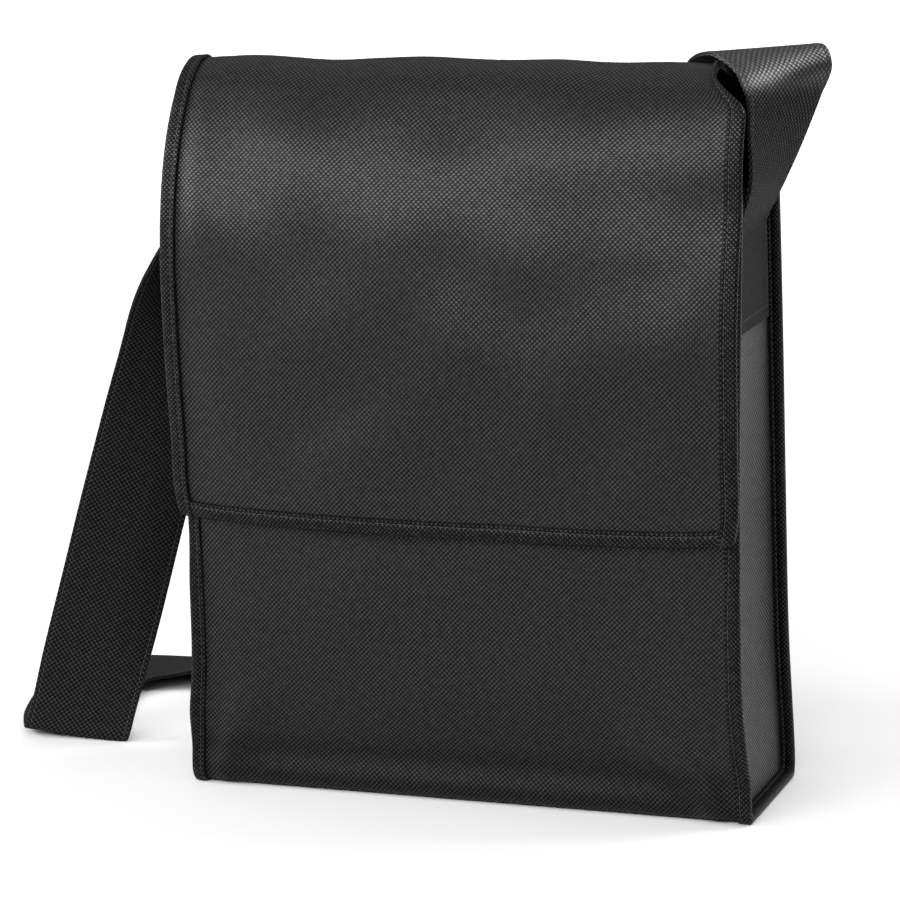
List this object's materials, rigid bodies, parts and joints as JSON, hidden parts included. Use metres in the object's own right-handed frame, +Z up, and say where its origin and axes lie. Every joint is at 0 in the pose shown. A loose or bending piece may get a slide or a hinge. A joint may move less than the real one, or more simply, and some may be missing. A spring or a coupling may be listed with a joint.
{
  "type": "document bag",
  "caption": "Upright soft document bag with a front flap, bound seams, side gussets and a wide shoulder strap that hangs over one side and trails behind.",
  "frame": {"origin": "on the floor under the middle of the base", "axes": "+Z up, the flap and front panel face -Y, +X to the right seen from the front"},
  "size_m": [0.4593, 0.2271, 0.3643],
  "materials": {
    "cloth": "black non-woven cloth with a fine embossed dot pattern",
    "tape": "darker folded binding tape with dotted emboss"
  },
  "bodies": {
    "root": {"body_wrap": "cloth", "gusset_left": "cloth", "gusset_right": "cloth", "seam_tape_left": "tape", "seam_tape_right": "tape", "flap_tape": "tape", "shoulder_strap": "cloth"}
  },
  "joints": []
}
